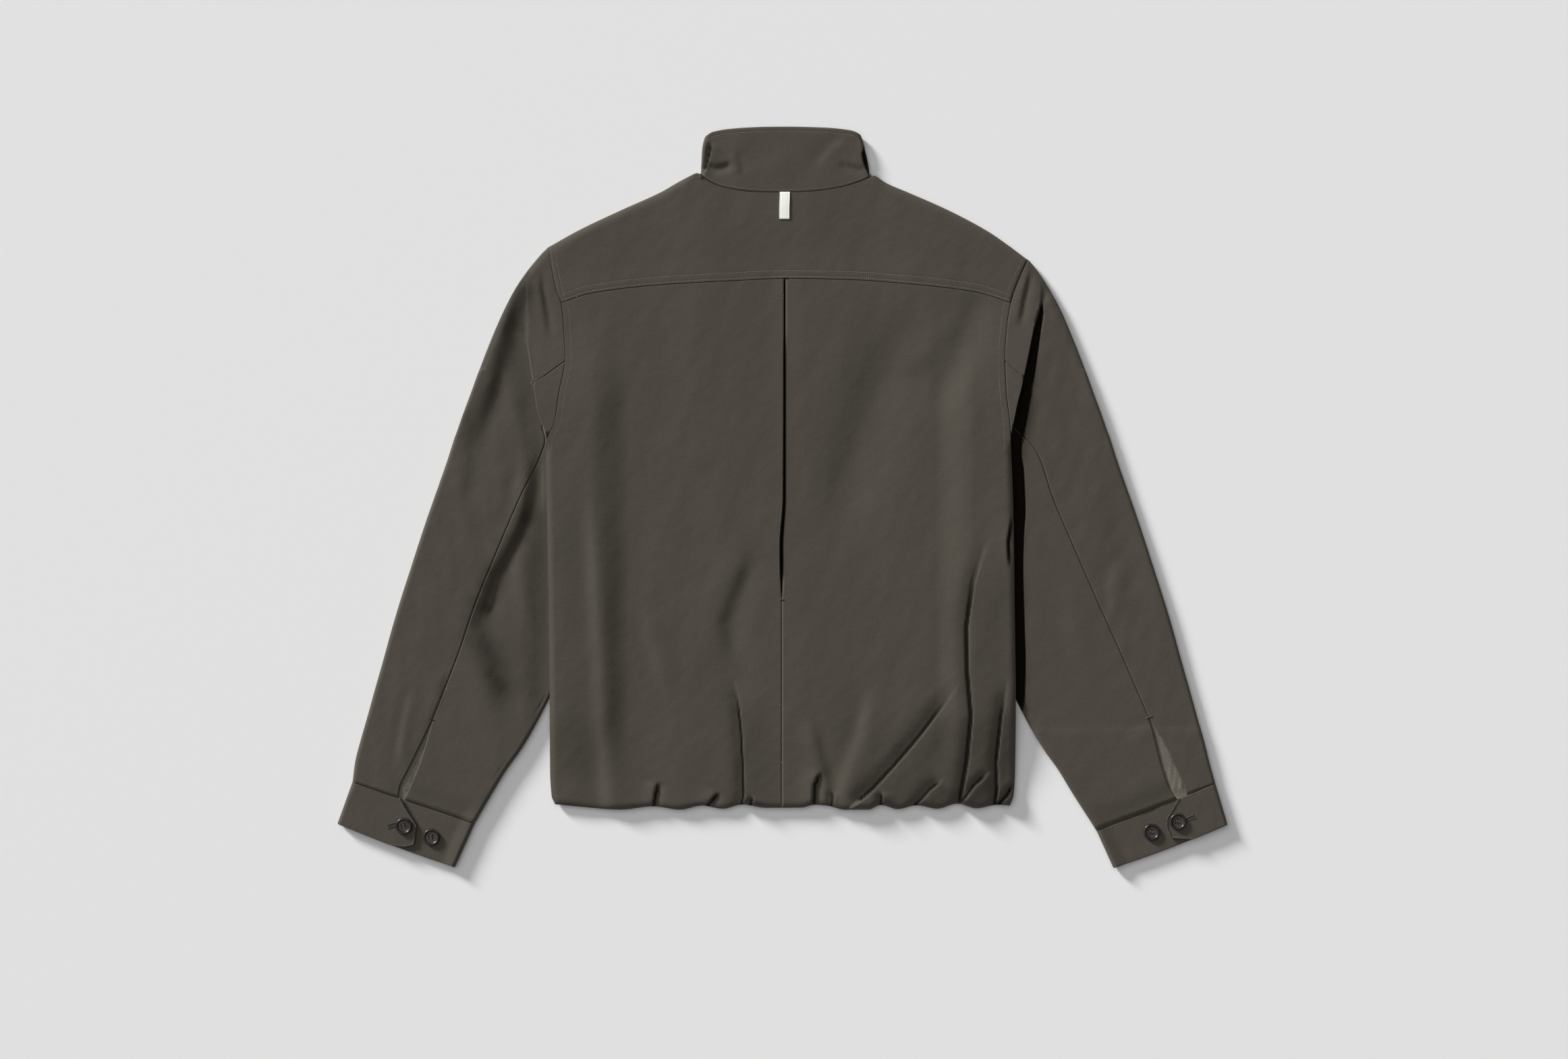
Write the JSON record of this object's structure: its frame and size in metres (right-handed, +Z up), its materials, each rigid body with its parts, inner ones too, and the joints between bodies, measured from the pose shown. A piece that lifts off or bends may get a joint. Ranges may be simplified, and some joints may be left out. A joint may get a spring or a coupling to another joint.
{
  "type": "harrington jacket",
  "caption": "Plain stand-collar harrington jacket laid flat on its front, back up, with a pleated back, gathered hem and buttoned cuffs",
  "frame": {"origin": "middle of the bounding box's bottom face, on the surface the garment lies on", "axes": "+X to the right sleeve as seen from above, +Y to the collar, +Z up out of the back panel"},
  "size_m": [0.9306, 0.7735, 0.0189],
  "materials": {
    "cloth": "matte, fine plain weave",
    "corduroy": "matte ribbed corduroy",
    "tape": "smooth woven tape",
    "button": "polished, marbled dark brown",
    "zip": "satin, cloth-coloured"
  },
  "bodies": {
    "root": {"yoke": "cloth", "pleat_underlay": "cloth", "collar": "cloth", "neck_tab": "tape", "zip_chain": "zip", "zip_slider": "zip", "back_left": "cloth", "front_left": "cloth", "sleeve_top_left": "cloth", "sleeve_under_left": "cloth", "cuff_left": "cloth", "placket_left": "corduroy", "button_left_lap": "button", "button_left_spare": "button", "back_right": "cloth", "front_right": "cloth", "sleeve_top_right": "cloth", "sleeve_under_right": "cloth", "cuff_right": "cloth", "placket_right": "corduroy", "button_right_lap": "button", "button_right_spare": "button"}
  },
  "joints": []
}
